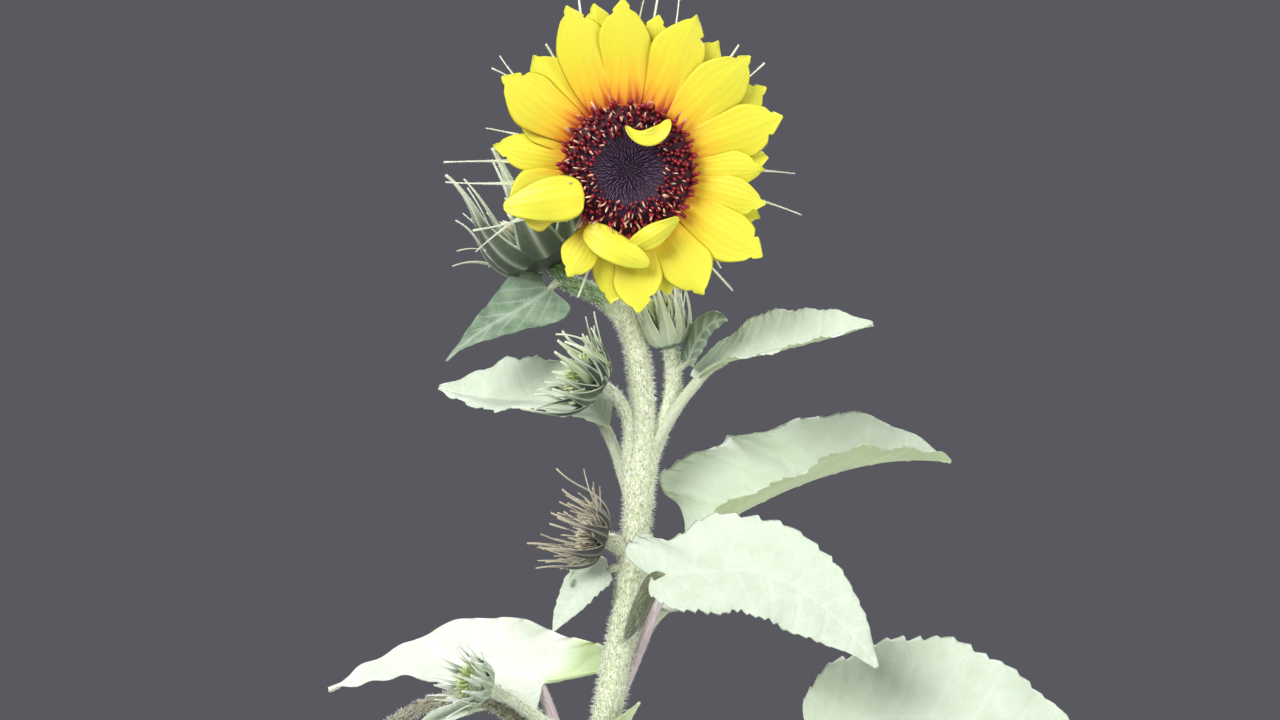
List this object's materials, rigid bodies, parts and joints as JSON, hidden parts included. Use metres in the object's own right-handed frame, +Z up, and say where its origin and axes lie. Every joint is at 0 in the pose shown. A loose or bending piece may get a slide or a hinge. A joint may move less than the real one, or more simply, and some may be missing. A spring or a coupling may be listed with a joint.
{
  "type": "sunflower plant",
  "caption": "Branching sunflower plant: a leaning stem with stalked leaves up its height, side branches that end in spiky buds, and an open yellow flower with a dark disc.",
  "frame": {"origin": "centre of the flat cut under the main stem, at ground level", "axes": "+Z straight up from the ground; -Y towards the side that the open flower faces; +X to the right of a viewer who looks at the flower"},
  "size_m": [0.5165, 0.471, 1.1598],
  "materials": {
    "stem": "matte",
    "branch": "matte",
    "leaf": "matte",
    "bud": "matte",
    "ray": "satin",
    "disc": "matte"
  },
  "bodies": {
    "root": {"main_stem": "stem", "branch_right": "branch", "branch_left": "branch", "branch_behind": "branch", "branch_short": "branch", "branch_lower_left": "branch", "branch_arching": "branch", "branch_back_left": "branch", "branch_back_right": "branch", "leaf_right_upper": "leaf", "leaf_left_upper": "leaf", "leaf_right_large": "leaf", "leaf_right_front": "leaf", "leaf_left_large": "leaf", "leaf_left_small": "leaf", "leaf_right_lower": "leaf", "leaf_front_small": "leaf", "leaf_back_upper": "leaf", "leaf_stem_01": "leaf", "leaf_stem_02": "leaf", "leaf_stem_03": "leaf", "leaf_stem_04": "leaf", "leaf_stem_05": "leaf", "leaf_stem_06": "leaf", "leaf_stem_07": "leaf", "leaf_stem_08": "leaf", "leaf_stem_09": "leaf", "leaf_stem_10": "leaf", "leaf_stem_11": "leaf", "leaf_stem_12": "leaf", "leaf_right_bract": "leaf", "leaf_behind_bract": "leaf", "leaf_arching_bract": "leaf", "leaf_back_left_bract": "leaf", "leaf_back_right_bract": "leaf", "bud_right": "bud", "bud_left": "bud", "bud_behind": "bud", "bud_short": "bud", "bud_lower_left": "bud", "bud_arching": "bud", "bud_back_left": "bud", "bud_back_right": "bud", "flower_cup": "bud", "flower_rays_back": "ray", "flower_rays_front": "ray", "flower_disc": "disc"}
  },
  "joints": []
}
